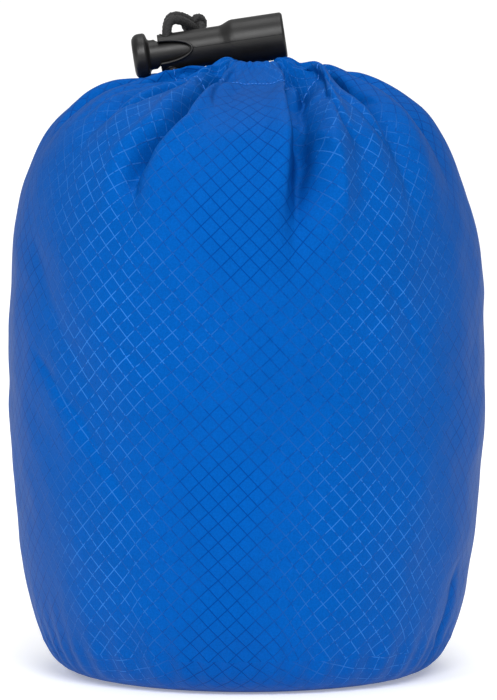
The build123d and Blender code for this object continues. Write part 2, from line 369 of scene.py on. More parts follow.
def even_points(line, count):
    """The same line with count points an even step apart, and its length."""
    run = distance_along(line)
    at = np.linspace(0, run[-1], count)
    return np.stack([np.interp(at, run, line[:, k]) for k in range(line.shape[1])], axis=1), run[-1]


def side_directions(p):
    """Two directions square to the line at each point, turned as little as possible along it."""
    tangent = np.gradient(p, axis=0)
    tangent /= np.linalg.norm(tangent, axis=1)[:, None]
    side = np.cross(tangent[0], (0.3, 0.9, 0.2))
    side /= np.linalg.norm(side)
    sides, others = [], []
    for t in tangent:
        side = side - t * side.dot(t)
        side /= np.linalg.norm(side)
        sides.append(side)
        others.append(np.cross(t, side))
    return np.array(sides), np.array(others)


def tube(points, radius, sides, verts, faces):
    """Adds a round tube with closed ends to verts and faces. radius is one number, or one for each point."""
    a, b = side_directions(points)
    radius = np.broadcast_to(radius, len(points))
    first = len(verts)
    for i, p in enumerate(points):
        for k in range(sides):
            w = 2 * math.pi * k / sides
            verts.append(p + radius[i] * (math.cos(w) * a[i] + math.sin(w) * b[i]))
    for i in range(len(points) - 1):
        for k in range(sides):
            m = (k + 1) % sides
            row, nxt = first + i * sides, first + (i + 1) * sides
            faces.append((row + k, row + m, nxt + m, nxt + k))
    faces.append(tuple(first + k for k in reversed(range(sides))))
    last = first + (len(points) - 1) * sides
    faces.append(tuple(last + k for k in range(sides)))


CARRIERS = 8  # each way
BRAID_PITCH = 6.4  # mm along the cord for one turn
# Shares of the cord's diameter: the core's diameter, a carrier's radius, the radius over the highest carriers
CORE_SHARE, YARN_SHARE, OUTER_SHARE = 0.92, 0.17, 0.54
CROSSING = 0.55  # how far a carrier rises and dips at a crossing, as a share of its radius


def braid(points, diameter, verts, faces, step=0.16):
    """A braided cord about a line: a core and carriers that cross over and under each other."""
    points = np.array([tuple(p) for p in points])
    line, length = even_points(points, max(8, int(distance_along(points)[-1] / step)))
    a, b = side_directions(line)
    at = np.linspace(0, length, len(line))
    tube(line, diameter / 2 * CORE_SHARE, 12, verts, faces)
    yarn = diameter * YARN_SHARE
    base_radius = diameter * OUTER_SHARE - yarn * (1 + CROSSING)
    for hand in (-1, 1):
        for k in range(CARRIERS):
            w = hand * 2 * math.pi * at / BRAID_PITCH + 2 * math.pi * k / CARRIERS
            phase = CARRIERS * 2 * math.pi * at / BRAID_PITCH + math.pi * k
            radius = base_radius + hand * CROSSING * yarn * np.cos(phase)
            path = line + radius[:, None] * (np.cos(w)[:, None] * a + np.sin(w)[:, None] * b)
            tube(path, yarn, 6, verts, faces)
    return length


def cord_tail(name, side, node):
    """One free tail, which stretches between the sack and the lock."""
    route = nurbs_line(name + "_route", tail_points(side))
    verts, faces = [], []
    length = braid(route, CORD_D, verts, faces)
    piece = mesh_piece(name, verts, faces, None, BRAID)
    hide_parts(node)
    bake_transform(piece)
    return piece, route, length


def knot_line():
    """One overhand turn, drawn tight."""
    w = np.linspace(0.15, 2 * math.pi - 0.15, 90)
    x = np.sin(w) + 2 * np.sin(2 * w)
    y = np.cos(w) - 2 * np.cos(2 * w)
    z = -np.sin(3 * w)
    p = np.stack([x, y * 0.92, z * 1.15], axis=1) * 0.80
    turn = np.array(Matrix.Rotation(math.radians(62), 3, "X") @ Matrix.Rotation(math.radians(25), 3, "Z"))
    return p @ turn.T + np.array(KNOT)


def cord_knot():
    verts, faces = [], []
    braid(knot_line(), CORD_D * 0.98, verts, faces)
    piece = mesh_piece("cord_knot", verts, faces, "cord_lock", BRAID)
    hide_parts("drawcord_knot")
    return piece


def cord_tips():
    """The two cut ends: braided stubs melted round at the tip."""
    verts, faces = [], []
    for dx, dy in ((0.9, 1.9), (-1.9, 2.3)):
        foot = KNOT + Vector((dx * 1.15, dy * 1.25, -6.6))
        top = KNOT + Vector((dx * 0.6, dy * 0.8, -1.0))
        braid([top, top.lerp(foot, 0.5) + Vector((0.1, 0.2, 0)), foot.lerp(top, 0.12)], CORD_D, verts, faces)
        seal = np.array([foot.lerp(top, t) for t in (0.22, 0.16, 0.08, 0.03, 0.0)])
        tube(seal, np.array([1.08, 1.16, 1.1, 0.8, 0.35]), 14, verts, faces)
    piece = mesh_piece("cord_tips", verts, faces, "cord_lock", BRAID)
    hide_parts("drawcord_tips")
    return piece


knot_piece = cord_knot()
tips_piece = cord_tips()
for tail_name, tail_side, tail_node, tail_with in (
    ("cord_tail_front", 1, "drawcord_tail_front", [knot_piece]),
    ("cord_tail_back", -1, "drawcord_tail_back", [tips_piece]),
):
    tail_piece, tail_route, tail_length = cord_tail(tail_name, tail_side, tail_node)


# ---------------------- the cloth's shape
# Azimuth is measured in degrees from the front, positive to the right.
# "Down" is the distance in mm of cloth below the rim.
# OUTLINE and RIM are the wall's profile, (radius, height) from the base seam up and over into the mouth.
FLAT_R = 59.4
SEAM_R, SEAM_Z = 50.9, 9.0  # the base seam's ring
OUTLINE = [
    (SEAM_R, SEAM_Z), (54.1, 17.9), (55.9, 28.0), (57.5, 38.0), (59.0, 58.0), (59.4, 78.0), (58.9, 98.0),
    (58.0, 108.0), (56.0, 118.0), (52.7, 128.0), (47.6, 137.0), (41.0, 143.2), (33.6, 147.2),
    (25.0, 149.7), (17.0, 151.2), (10.6, 152.6),
]
RIM = [(9.1, 153.7), (7.6, 154.1), (6.1, 153.5), (5.2, 151.8), (4.7, 149.0), (4.6, 145.0)]
TO_RIM = 2.0  # mm of cloth from the end of OUTLINE to the rim, where "down" is zero
SEAM_AZ = 56.0  # the side seam, where the tube of cloth starts and ends
CRUMPLE = 0.55  # mm, depth of the soft dents in the filled cloth
NORMAL_REACH = 6  # rows and columns each way over which the cloth's normals are evened out
SETTLING_FRAMES = 16
MOST_SETTLING = 1.4  # mm that a point of the cloth may move in the simulation
COLUMNS, ROWS = 240, 136
STITCH_DOWN = 11.0
HEM_STITCH_COUNT = 132
STITCH_RISE, STITCH_SINK = 0.10, 0.12  # mm out of the cloth at a stitch's middle, and into it at its ends
STITCH_SHARE = 0.78  # a stitch's length, as a share of the row's pitch
THREAD_R = 0.15
STITCH_GROOVE, GROOVE_HALF = 0.45, 0.8  # how deep the stitches draw the cloth in, and half that groove's width
SEAM_PUCKER, PUCKERS = 0.34, 46  # mm each way, and how many round the base seam
RUFFLE, FINE_RUFFLE = 0.95, 0.45  # mm each way at the rim
RIM_DIP_FRONT, RIM_DIP_BACK = 0.25, 2.0  # mm that the rim lies lower
MOUTH_SHIFT = (2.2, -1.6)  # how far the mouth lies off the sack's axis, in X and Y
# The hollow under the lock: its middle line, half widths, depth at the start and how much less at the end
HOLLOW_X, HOLLOW_LENGTH, HOLLOW_Y = -27.0, 36.0, 12.0
HOLLOW_HALF_X, HOLLOW_HALF_Y = 9.5, 8.5
HOLLOW_DEPTH, HOLLOW_RISE = 4.6, 2.2

# Folds: (down, azimuth) along the crease, depth in mm (negative is a ridge), half width in mm
FOLDS = [
    ([(0, 50), (12, 40), (22, 28), (46, 19), (56, 17), (64, 13.5), (76, 12)], 5.2, 3.6),
    ([(8, 60), (22, 41), (34, 31), (50, 24.5), (60, 23.6), (74, 24)], -1.5, 3.8),
    ([(14, 24), (30, 17), (48, 12.4), (58, 10), (70, 9)], -1.3, 3.6),
    (
        [(0, -52), (15, -27), (25, -24.5), (35, -24.5), (40, -27.5), (45, -31), (53, -32.5), (64, -30)],
        4.2, 2.6,
    ),
    ([(10, -14), (26, -17), (44, -22), (60, -24)], -1.0, 4.5),
    ([(12, -6), (24, -6), (36, -5)], 0.6, 2.2),
    ([(4, -70), (16, -68), (28, -66), (40, -63)], 1.4, 1.8),
    ([(6, -90), (18, -84), (30, -80), (44, -77)], 1.5, 1.9),
    ([(5, -102), (20, -97), (36, -92)], 1.5, 2.0),
    ([(6, 74), (18, 62), (30, 55), (42, 52)], 1.2, 1.8),
    ([(0, -78), (14, -62), (30, -56), (46, -54)], 2.6, 3.2),
    ([(0, 84), (14, 66), (30, 56), (52, 50), (66, 48)], 2.8, 3.4),
    ([(4, 100), (20, 84), (40, 74), (58, 70)], 2.0, 3.2),
    ([(2, 118), (18, 106), (38, 98), (60, 95)], 3.2, 3.6),
    ([(3, 142), (20, 136), (44, 128), (66, 124)], 3.6, 3.4),
    ([(2, 166), (18, 164), (40, 158), (58, 155)], 2.8, 3.2),
    ([(3, 190), (22, 188), (46, 184), (70, 182)], 4.2, 3.6),
    ([(2, 214), (20, 216), (40, 214), (60, 212)], 3.0, 3.2),
    ([(3, 238), (18, 240), (40, 240), (64, 238)], 3.4, 3.4),
    ([(2, 262), (20, 264), (44, 262), (62, 260)], 2.6, 3.4),
    ([(70, -66), (84, -58), (100, -46), (116, -34), (124, -28)], 0.9, 5.0),
    ([(84, 40), (104, 46), (124, 50)], 0.6, 5.5),
]


# Sharp creases in the settled cloth: (down, azimuth) along the crease, depth in mm (negative is a ridge),
# and how far it runs out to the left and to the right in mm
CREASES = [
    (
        [(2, -48), (15, -26.5), (25, -24.5), (35, -24.5), (40, -27.5), (45.5, -31), (53, -32.5), (58, -30)],
        4.6, 0.8, 1.5,
    ),
    ([(2, -59), (12, -49), (22, -45.5), (30, -48), (35.5, -56)], 2.8, 0.7, 1.4),
    ([(2, -74), (9, -80), (15, -74), (23, -73)], 2.4, 0.7, 1.4),
    ([(5, -96), (16, -88), (28, -82), (40, -80)], 1.8, 0.6, 2.1),
    ([(2, 44), (14, 27.5), (30, 22), (40, 21), (47, 19.5), (57, 16), (62, 14)], 5.1, 1.78, 0.6),
    ([(2, 63), (25, 35.5), (39, 35), (46, 38)], 2.25, 1.68, 0.52),
    ([(2, 83), (10, 75), (22, 62), (30, 60)], 2.25, 2.31, 0.6),
    ([(36, 24), (40, 25), (48, 27), (55, 26.5), (62, 26)], -1.17, 0.75, 1.89),
    ([(34, 15.5), (44, 13), (52, 11.5), (61, 10.5)], -0.91, 1.68, 0.68),
    ([(3, -25), (18, -15), (29, -11)], 1.35, 0.45, 1.58),
    ([(14, 48), (26, 47), (38, 46), (48, 50)], 1.35, 1.58, 0.52),
    ([(98, -63), (114, -44.5), (128, -34.5), (136, -30)], 1.05, 0.9, 2.73),
    ([(152, 70), (158, 69.5), (168, 69.5), (175, 68.5)], 1.2, 1.05, 0.52),
    ([(92, -37), (97, -29), (102, -23)], 0.68, 0.68, 1.68),
    ([(76, 34), (88, 42), (98, 47)], 0.6, 1.68, 0.68),
    ([(3, 120), (18, 112), (38, 106)], 2.1, 0.6, 2.31),
    ([(3, 150), (20, 143), (42, 139)], 2.4, 2.31, 0.6),
    ([(3, 176), (22, 172), (46, 169)], 2.25, 0.6, 2.42),
    ([(3, 205), (22, 203), (44, 202)], 2.4, 2.31, 0.6),
    ([(3, 232), (20, 236), (42, 238)], 2.1, 0.6, 2.31),
]


def catmull(points, count):
    """Smooth line through the points, as count points an even step apart, and its length."""
    p = np.array(points, float)
    p = np.vstack([2 * p[0] - p[1], p, 2 * p[-1] - p[-2]])
    dense = []
    for i in range(1, len(p) - 2):
        a, b, c, d = p[i - 1], p[i], p[i + 1], p[i + 2]
        for t in np.linspace(0, 1, 24, endpoint=False):
            square, cube = 2 * a - 5 * b + 4 * c - d, 3 * b - a - 3 * c + d
            dense.append(0.5 * (2 * b + (c - a) * t + square * t**2 + cube * t**3))
    dense.append(p[-2])
    return even_points(np.array(dense), count)


def smooth_step(value, low, high):
    t = np.clip((value - low) / (high - low), 0, 1)
    return t * t * (3 - 2 * t)


def mean_round(values, reach, axis=0):
    """Each value of a closed ring evened out with its neighbours, reach of them each way."""
    return np.mean([np.roll(values, k, axis=axis) for k in range(-reach, reach + 1)], axis=0)


def angle_gap(a, b):
    """Signed difference of two azimuths in degrees."""
    return (a - b + 180.0) % 360.0 - 180.0


def fold_depth(azimuth, down, radius):
    """How far the folds push the cloth in, in mm."""
    push = np.zeros_like(azimuth)
    for line, depth, width in FOLDS:
        line = np.array(line, float)
        centre = np.interp(down, line[:, 0], line[:, 1])
        start, end = line[0, 0], line[-1, 0]
        along = smooth_step(down, start - 3, start + 7)
        along *= 1 - smooth_step(down, end - 0.42 * (end - start), end + 8)
        spread = np.maximum(width * (0.55 + down / 90.0), 1.2)
        gap = np.radians(angle_gap(azimuth, centre)) * np.maximum(radius, 9.0)
        soft = 0.22 * spread
        crease = np.exp(-(np.sqrt(gap**2 + soft**2) - soft) / (0.62 * spread))
        shape = crease - 0.32 * np.exp(-(((np.abs(gap) - 2.1 * spread) / spread) ** 2))
        push += depth * along * shape
    return push


def cloth_start():
    """The gathered tube before it settles: columns round it, rows from the seam up and over into the mouth."""
    profile, length = catmull(OUTLINE + RIM, ROWS)
    outer = catmull(OUTLINE, 400)[1] + TO_RIM
    down_1d = outer - np.linspace(0, length, ROWS)
    azimuth_1d = SEAM_AZ + np.arange(COLUMNS) * 360.0 / COLUMNS
    azimuth, down = np.meshgrid(azimuth_1d, down_1d)
    radius = np.repeat(profile[:, :1], COLUMNS, axis=1)
    height = np.repeat(profile[:, 1:], COLUMNS, axis=1)
    w = np.radians(azimuth)
    outward, upward = surface_normal(profile)
    push = fold_depth(azimuth, down, radius)
    ruffle_fade = 1 - smooth_step(down, 6, 30)
    ruffle = RUFFLE * np.sin(21 * w + 1.1 * np.sin(3 * w)) + FINE_RUFFLE * np.sin(34 * w + 2 * np.cos(2 * w))
    inside = 1 - smooth_step(-down, 2, 9)
    calm = 1 - 0.88 * (1 - smooth_step(np.abs(angle_gap(azimuth, 4.0)), 34, 58))
    push -= ruffle * ruffle_fade * (0.35 + 0.65 * inside) * calm
    pucker = np.exp(-np.abs(height - SEAM_Z) / 5.0)
    push -= SEAM_PUCKER * pucker * np.sin(PUCKERS * w + 2.5 * np.sin(5 * w))
    push += STITCH_GROOVE * np.exp(-(((down - STITCH_DOWN) / GROOVE_HALF) ** 2))
    radius = radius - push * outward[:, None]
    height = height - push * upward[:, None]
    front = 0.5 + 0.5 * np.cos(w)
    dome = 1 - smooth_step(radius, 20, 50)
    height = height - 1.4 * front**2 * dome * smooth_step(radius, 9, 20)
    rim_zone = 1 - smooth_step(radius, 9, 17)
    height = height + rim_zone * (-RIM_DIP_FRONT * front - RIM_DIP_BACK * (1 - front) ** 1.5)
    height = height + rim_zone * 0.35 * np.sin(9 * w + 0.6) * calm
    x = radius * np.sin(w)
    y = -radius * np.cos(w)
    x = x - 0.9 * smooth_step(height, 95, 130) * smooth_step(radius, 12, 40)
    near_mouth = 1 - smooth_step(radius, 10, 34)
    x = x + MOUTH_SHIFT[0] * near_mouth
    y = y + MOUTH_SHIFT[1] * near_mouth
    height = height - lock_hollow(x, y, height)
    return np.stack([x, y, height], axis=2), down_1d


def surface_normal(profile):
    """Outward part and upward part of the profile's normal."""
    slope = np.gradient(profile, axis=0)
    slope /= np.linalg.norm(slope, axis=1)[:, None]
    return slope[:, 1], -slope[:, 0]


def lock_hollow(x, y, height):
    """The shoulder is pressed down where the lock and the cord lie on it."""
    across = np.clip((x - HOLLOW_X) / HOLLOW_LENGTH, 0, 1)
    axis_x = HOLLOW_X + HOLLOW_LENGTH * across
    gap = np.hypot((x - axis_x) / HOLLOW_HALF_X, (y - HOLLOW_Y) / HOLLOW_HALF_Y)
    depth = HOLLOW_DEPTH - HOLLOW_RISE * across
    return depth * np.exp(-(gap**2.4)) * smooth_step(height, 120, 145)


def grid_faces(rows, columns):
    faces = []
    for i in range(rows - 1):
        for k in range(columns):
            m = (k + 1) % columns
            faces.append((i * columns + k, i * columns + m, (i + 1) * columns + m, (i + 1) * columns + k))
    return faces


def settle(points, down):
    """Cloth simulation. The tube is cut wider than the gathered shape, so it buckles where it is drawn in."""
    rows, columns = points.shape[:2]
    mesh = bpy.data.meshes.new("settling")
    mesh.from_pydata([tuple(p) for p in points.reshape(-1, 3) * MM], [], grid_faces(rows, columns))
    mesh.update()
    piece = new_object("settling", mesh)
    piece.shape_key_add(name="Basis")
    rest = piece.shape_key_add(name="rest")
    stretch = 1.012 + 0.06 * (1 - smooth_step(down, 30, 75)) * smooth_step(down, 8, 20)
    wide = points.copy()
    wide[:, :, :2] *= stretch[:, None, None]
    rest.data.foreach_set("co", (wide.reshape(-1, 3) * MM).ravel())
    held = piece.vertex_groups.new(name="held")
    grip = 0.16 + 0.84 * (1 - smooth_step(down, 8, 15))
    grip = np.maximum(grip, smooth_step(down, down.max() - 6, down.max() - 1))
    for i in range(rows):
        held.add(range(i * columns, (i + 1) * columns), float(grip[i]), "REPLACE")
    cloth = piece.modifiers.new("cloth", "CLOTH")
    settings = cloth.settings
    settings.quality = 5
    settings.mass = 0.06
    settings.tension_stiffness = 18
    settings.compression_stiffness = 18
    settings.shear_stiffness = 6
    settings.bending_stiffness = 0.12
    settings.air_damping = 4
    settings.use_pressure = True
    settings.uniform_pressure_force = 1.2
    settings.vertex_group_mass = "held"
    settings.pin_stiffness = 1.0
    settings.rest_shape_key = rest
    settings.effector_weights.gravity = 0
    cloth.collision_settings.use_collision = False
    cloth.collision_settings.use_self_collision = False
    cloth.point_cache.frame_start = 1
    cloth.point_cache.frame_end = SETTLING_FRAMES
    scene = bpy.context.scene
    for number in range(1, SETTLING_FRAMES + 1):
        scene.frame_set(number)
    got = piece.evaluated_get(bpy.context.evaluated_depsgraph_get()).to_mesh()
    settled = np.empty(len(got.vertices) * 3)
    got.vertices.foreach_get("co", settled)
    scene.frame_set(1)
    settled = settled.reshape(points.shape) / MM
    bpy.data.objects.remove(piece)
    bpy.data.meshes.remove(mesh)
    shift = settled - points
    size = np.linalg.norm(shift, axis=2, keepdims=True)
    return points + shift * np.minimum(1.0, MOST_SETTLING / np.maximum(size, 1e-6))


def refine(points):
    """Twice the rows and columns, on a smooth surface through the points. Columns go all the way round."""

    def doubled(p, axis, closed):
        if closed:
            before, after, after2 = np.roll(p, 1, axis), np.roll(p, -1, axis), np.roll(p, -2, axis)
            middle = (9 * (p + after) - before - after2) / 16
            out = np.stack([p, middle], axis=axis + 1)
            shape = list(p.shape)
            shape[axis] *= 2
            return out.reshape(shape)
        q = np.moveaxis(p, axis, 0)
        padded = np.concatenate([2 * q[:1] - q[1:2], q, 2 * q[-1:] - q[-2:-1]])
        middle = (9 * (padded[1:-2] + padded[2:-1]) - padded[:-3] - padded[3:]) / 16
        out = np.empty((2 * len(q) - 1, *q.shape[1:]))
        out[0::2] = q
        out[1::2] = middle
        return np.moveaxis(out, 0, axis)

    return doubled(doubled(points, 1, True), 0, False)


def press_creases(points, down, azimuth):
    """Sharp folds, steep on one side, that the simulation is too coarse to keep."""
    along_rows = np.gradient(points, axis=0)
    along_columns = np.roll(points, -1, axis=1) - np.roll(points, 1, axis=1)
    normal = np.cross(along_columns, along_rows)
    normal /= np.linalg.norm(normal, axis=2, keepdims=True)
    reach = NORMAL_REACH
    normal = mean_round(normal, reach, axis=1)
    padded = np.pad(normal, ((reach, reach), (0, 0), (0, 0)), mode="edge")
    normal = np.mean([padded[k : k + len(normal)] for k in range(2 * reach + 1)], axis=0)
    normal /= np.linalg.norm(normal, axis=2, keepdims=True)
    radius = np.maximum(np.hypot(points[:, :, 0], points[:, :, 1]), 9.0)
    push = np.zeros(radius.shape)
    down = down[:, None]
    for line, depth, left, right in CREASES:
        line = np.array(line, float)
        first, last = line[0, 0], line[-1, 0]
        centre = np.interp(down, line[:, 0], line[:, 1])
        gap = np.radians(angle_gap(azimuth[None, :], centre)) * radius
        width = np.where(gap < 0, left, right) * (0.6 + down / 80.0)
        shape = np.exp(-np.sqrt((gap / width) ** 2 + 0.03) + 0.17)
        run = smooth_step(down, first - 2, first + 7)
        run *= 1 - smooth_step(down, last - 0.22 * (last - first), last + 4)
        push += depth * run * shape
    flat = [Vector(p) for p in points.reshape(-1, 3)]
    crumple = np.array([noise.noise(p * 0.055) + 0.5 * noise.noise(p * 0.13) for p in flat])
    push += CRUMPLE * crumple.reshape(push.shape) * smooth_step(down, 14, 40)
    return points - normal * push[:, :, None]


start, down_rows = cloth_start()
settled = settle(start, down_rows)
surface = refine(settled)
down_fine = np.interp(np.arange(surface.shape[0]) / 2, np.arange(ROWS), down_rows)
FINE_COLUMNS = surface.shape[1]
fine_azimuth = SEAM_AZ + np.arange(FINE_COLUMNS) * 360.0 / FINE_COLUMNS
surface = press_creases(surface, down_fine, fine_azimuth)


# ---------------------- the cord held in the hem
HEM_OUTER_DOWN, HEM_INNER_DOWN = 4.0, -5.5  # where the hem's two walls lie beside the cord
HELD_CLEAR = 1.5  # mm from the cord's middle line to the cloth
GATHER_SHARE = 16  # a sixteenth of the columns each way evens out the gathers
EXIT_FRONT_AZ, EXIT_BACK_AZ = -100.0, -140.0  # where the two ends leave the hem, in degrees from the front


def hem_line(points, down):
    """Middle of the hem's tunnel, one point a column, half way between its outer wall and its inner wall."""
    outer, inner = (int(np.argmin(np.abs(down - d))) for d in (HEM_OUTER_DOWN, HEM_INNER_DOWN))
    middle = 0.5 * (points[outer] + points[inner])
    return mean_round(middle, len(middle) // GATHER_SHARE)


def clear_of_cord(points, down, line):
    """The held cord keeps the hem open: a gather that reaches the cord stops against it."""
    for i in np.flatnonzero(down < STITCH_DOWN):
        ungathered = mean_round(points[i], points.shape[1] // GATHER_SHARE)
        gather = points[i] - ungathered
        free = np.ones(len(gather), bool)
        share = np.zeros(len(gather))
        for part in np.linspace(0.1, 1.0, 10):
            offsets = (ungathered + part * gather)[:, None] - line[None, ::3]
            free &= np.linalg.norm(offsets, axis=2).min(axis=1) >= HELD_CLEAR
            share[free] = part
        points[i] = ungathered + share[:, None] * gather


def cord_loop(line):
    """The drawcord's held length: round the hem from one end's exit to the other's, then out to the tails."""
    turned = (fine_azimuth - EXIT_FRONT_AZ) % 360.0
    far = (EXIT_BACK_AZ - EXIT_FRONT_AZ) % 360.0
    order = [k for k in np.argsort(turned) if turned[k] <= far][::12]
    ring = line[order]
    front, back = (np.array(tuple(tail_points(side)[0])) for side in (1, -1))
    route = np.vstack([front + 0.08 * (ring[0] - front), ring, back + 0.08 * (ring[-1] - back)])
    verts, faces = [], []
    braid(catmull(route, 160)[0], CORD_D, verts, faces, step=0.3)
    piece = mesh_piece("cord_loop", verts, faces, "sack", BRAID)
    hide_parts("drawcord_loop")


held_line = hem_line(surface, down_fine)
clear_of_cord(surface, down_fine, held_line)
cord_loop(held_line)


LEAST_TUCK = 1.4  # a fold deeper than this, in mm, takes up spare width
IN_TUCKS = 0.62  # share of the spare width in those folds; the rest is spread evenly


def flat_across(azimuth, down, radius):
    """Flat width coordinate of the cloth: the spare width of the gathers is taken up in the creases."""
    spare = 2 * math.pi * np.maximum(FLAT_R - radius, 0)
    turned = azimuth - SEAM_AZ
    tucks = [f for f in FOLDS if f[1] > LEAST_TUCK]
    total = sum(f[1] for f in tucks)
    step = np.zeros_like(azimuth)
    for line, depth, width in tucks:
        line = np.array(line, float)
        centre = (np.interp(down, line[:, 0], line[:, 1]) - SEAM_AZ) % 360.0
        gap = np.radians(turned - centre) * np.maximum(radius, 8.0)
        step += depth / total * 0.5 * (1 + np.tanh(gap / (0.8 * width)))
    across = np.radians(turned) * radius + spare * (IN_TUCKS * step + (1 - IN_TUCKS) * turned / 360.0)
    front = int(round((360.0 - SEAM_AZ) / 360.0 * (azimuth.shape[1] - 1)))
    return across - across[:, front : front + 1]


def corner_vertices(mesh):
    """The vertex number at each face corner."""
    corners = np.empty(len(mesh.loops), int)
    mesh.loops.foreach_get("vertex_index", corners)
    return corners


def store_flat(mesh, uv):
    """Keeps the flat-cloth coordinates of each face corner, in mm, for the ripstop material."""
    mesh.uv_layers.new(name="flat").data.foreach_set("uv", uv.ravel())


def cloth_wall():
    """The visible wall with flat-cloth coordinates in its UV map."""
    rows = surface.shape[0]
    points = surface.reshape(-1, 3)
    piece = mesh_piece("ripstop_wall", points, grid_faces(rows, FINE_COLUMNS), "sack", CLOTH)
    mesh = piece.data
    azimuth = SEAM_AZ + np.arange(FINE_COLUMNS + 1) * 360.0 / FINE_COLUMNS
    plain_profile, _ = catmull(OUTLINE + RIM, rows)
    radius = np.repeat(plain_profile[:, :1], FINE_COLUMNS + 1, axis=1)
    az, dn = np.meshgrid(azimuth, down_fine)
    across = flat_across(az, dn, radius)
    corners = corner_vertices(mesh)
    row, column = corners // FINE_COLUMNS, corners % FINE_COLUMNS
    face = np.repeat(np.arange(len(mesh.polygons)), 4)
    last_face = (face % FINE_COLUMNS) == FINE_COLUMNS - 1
    column = np.where(last_face & (column == 0), FINE_COLUMNS, column)
    store_flat(mesh, np.stack([across[row, column], dn[row, column]], axis=1))
    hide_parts("body_panel", "drawcord_channel")
    return piece


def on_wall(azimuth, down, lift):
    """Point on the wall's surface, lift mm proud of it."""
    column = ((azimuth - SEAM_AZ) % 360.0) / 360.0 * FINE_COLUMNS
    row = np.interp(-down, -down_fine, np.arange(len(down_fine)))
    i, k = int(min(row, len(down_fine) - 2)), int(column) % FINE_COLUMNS
    t, u = row - i, column - int(column)
    m = (k + 1) % FINE_COLUMNS
    a, b, c, d = surface[i, k], surface[i, m], surface[i + 1, m], surface[i + 1, k]
    p = (a * (1 - u) + b * u) * (1 - t) + (d * (1 - u) + c * u) * t
    normal = np.cross(b - a, d - a)
    normal /= np.linalg.norm(normal)
    return p + normal * lift


def thread(name, lines, node):
    """Sewing thread along one or more lines of points."""
    verts, faces = [], []
    for line in lines:
        tube(np.array(line), THREAD_R, 6, verts, faces)
    piece = mesh_piece(name, verts, faces, "sack", THREAD)
    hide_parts(node)
    return piece


def hem_stitches():
    """Row of separate stitches that closes the hem, each sunk into the cloth at its ends."""
    pitch = 360.0 / HEM_STITCH_COUNT
    lines = []
    for k in range(HEM_STITCH_COUNT):
        line = []
        for t in np.linspace(-0.5, 0.5, 5):
            rise = STITCH_RISE * (1 - (2 * t) ** 4) - STITCH_SINK * abs(2 * t) ** 6
            line.append(on_wall(pitch * k + t * pitch * STITCH_SHARE, STITCH_DOWN, rise))
        lines.append(line)
    return thread("hem_stitches", lines, "channel_stitching")


def base_cloth():
    """Round base: flat on the floor, turned up to the seam, with the wall's puckers dying away inwards."""
    rings = 46
    corner = [(0.0, 0.35), (20.0, 0.30), (33.0, 0.10), (38.5, 0.0), (44.6, 1.5), (48.2, 4.4), (SEAM_R, SEAM_Z)]
    profile, _ = catmull(corner, rings)
    edge = surface[0]
    w = np.radians(fine_azimuth)
    points, flat = [], []
    run = 0.0
    for i, (radius, height) in enumerate(profile):
        if i:
            run += math.dist(profile[i], profile[i - 1])
        share = smooth_step(np.array(radius), 36.0, SEAM_R)
        plain = np.stack([radius * np.sin(w), -radius * np.cos(w), np.full_like(w, max(height, 0.0))], axis=1)
        rim = np.stack([SEAM_R * np.sin(w), -SEAM_R * np.cos(w), np.full_like(w, SEAM_Z)], axis=1)
        ring = plain + (edge - rim) * float(share) ** 2
        points.append(ring)
        flat.append(np.stack([run * np.sin(w) + 3.1, run * np.cos(w) + 1.7], axis=1))
    points, flat = np.array(points), np.array(flat)
    points[:, :, 2] = np.maximum(points[:, :, 2], 0.0)
    faces = [f[::-1] for f in grid_faces(rings, FINE_COLUMNS)]
    piece = mesh_piece("ripstop_base", points.reshape(-1, 3), faces, "sack", CLOTH)
    store_flat(piece.data, flat.reshape(-1, 2)[corner_vertices(piece.data)])
    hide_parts("base_panel")
    return piece


wall_piece = cloth_wall()
base_piece = base_cloth()
hem_thread = hem_stitches()


# ---------------------- inside the cloth
GOODS_INSET, GOODS_DROP = 2.1, 1.5  # the goods' clearance inside the wall: sideways, and downwards
GOODS_FLOOR, GOODS_FOOT_SHARE = 2.2, 0.74  # their flat underside: height, and share of the first ring
GOODS_TOP = 62  # mm of cloth below the rim, where the goods stop following the wall and round over
DOME = ((0.86, 3.5), (0.68, 6.0), (0.40, 7.5))  # the goods' rounded top: share of the last ring, rise in mm
SEAM_DEPTH, SEAM_THICK = 0.5, 0.5  # the seams' strips lie inside the wall
INNER_THREAD_DEPTH = 1.2


def goods():
    """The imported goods: they fill the sack and follow the cloth from within."""
    rows = [i for i in range(2, surface.shape[0], 4) if down_fine[i] > GOODS_TOP]
    shifts = [(a, b) for a in range(-5, 6) for b in range(-7, 8)]
    radius = np.hypot(surface[:, :, 0], surface[:, :, 1])
    radius = np.min([np.roll(radius, shift, axis=(0, 1)) for shift in shifts], axis=0)
    height = np.min([np.roll(surface[:, :, 2], shift, axis=1) for shift in range(-7, 8)], axis=0)
    turn = np.arctan2(surface[:, :, 1], surface[:, :, 0])
    radius = radius - GOODS_INSET
    inner = np.stack([radius * np.cos(turn), radius * np.sin(turn), height - GOODS_DROP], axis=2)
    layers = inner[rows, ::4]
    count = layers.shape[1]
    dome = [layers[-1] * (scale, scale, 1) + (0, 0, rise) for scale, rise in DOME]
    layers = np.concatenate([layers, dome])
    points = layers.reshape(-1, 3)
    faces = grid_faces(len(layers), count)
    low = np.array([0, 0, GOODS_FLOOR])
    top = layers[-1].mean(axis=0) + (0, 0, 0.5)
    ring = layers[0] * (GOODS_FOOT_SHARE, GOODS_FOOT_SHARE, 0) + low
    first = len(points)
    points = np.vstack([points, ring, low, top])
    for k in range(count):
        m = (k + 1) % count
        faces.append((first + k, first + m, m, k))
        faces.append((first + count, first + m, first + k))
        faces.append((first - count + k, first - count + m, first + count + 1))
    piece = mesh_piece("goods", points, faces, "sack", FILLING)
    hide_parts("packed_contents")


